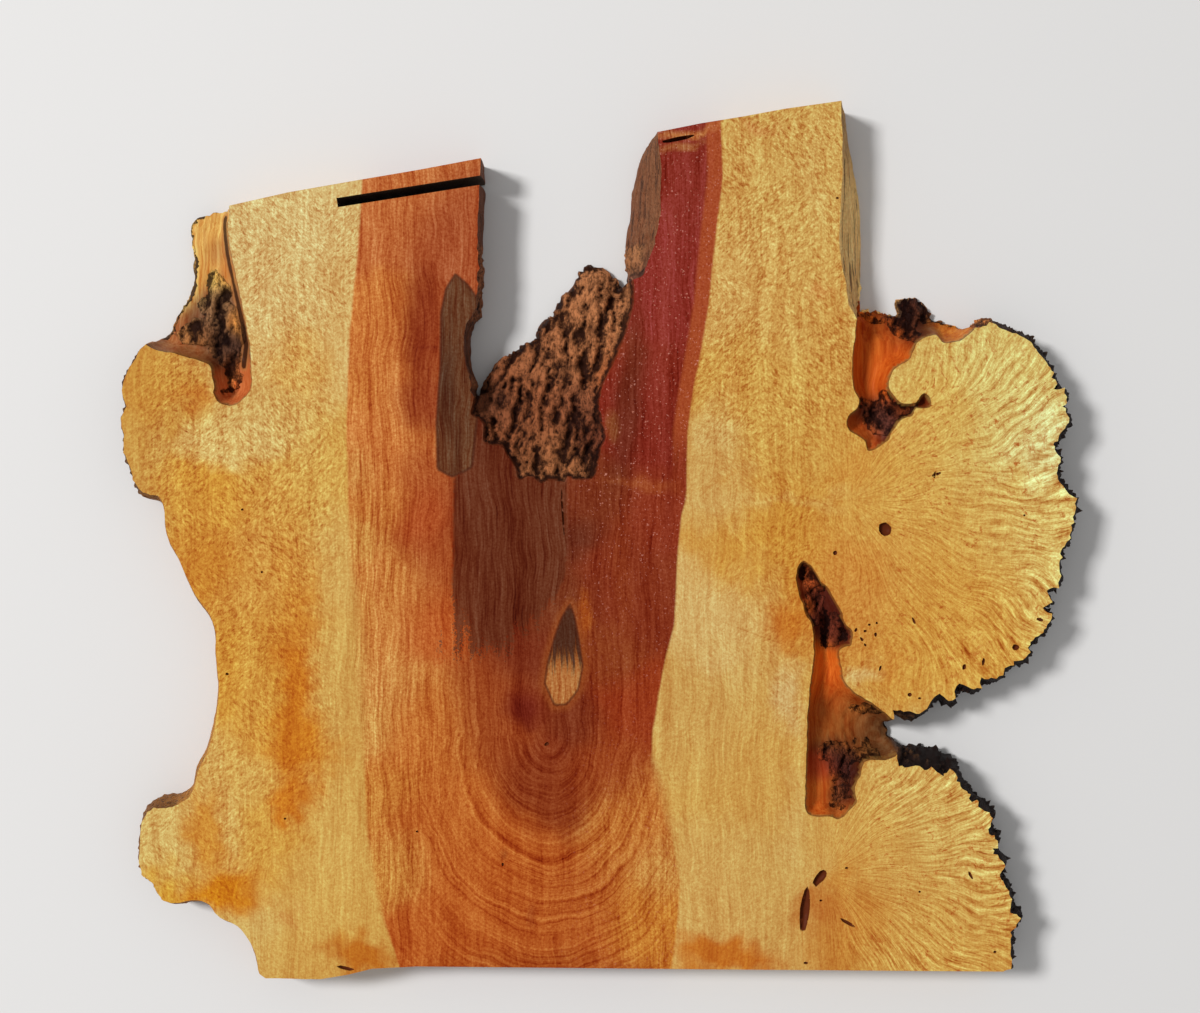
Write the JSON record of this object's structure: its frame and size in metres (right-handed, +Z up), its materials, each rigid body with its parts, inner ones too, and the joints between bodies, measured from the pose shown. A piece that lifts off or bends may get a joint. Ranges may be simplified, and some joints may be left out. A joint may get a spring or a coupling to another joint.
{
  "type": "maple burl slab",
  "caption": "Forked live-edge slab of maple burl, sawn flat on both faces, with burl lobes, bark folds and a saw cut in one arm; lies flat on its back.",
  "frame": {"origin": "middle of the bounding box, on the plane of the sawn back face that the slab rests on", "axes": "+Z up out of the figured face, +X from the trunk towards the side with the large burls, +Y along the trunk towards the fork"},
  "size_m": [0.8386, 0.7628, 0.0444],
  "materials": {
    "maple_burl": "planed face with a satin sheen, sawn ends, amber live edge and rough dark bark"
  },
  "bodies": {
    "root": {"maple_burl_slab": "maple_burl"}
  },
  "joints": []
}
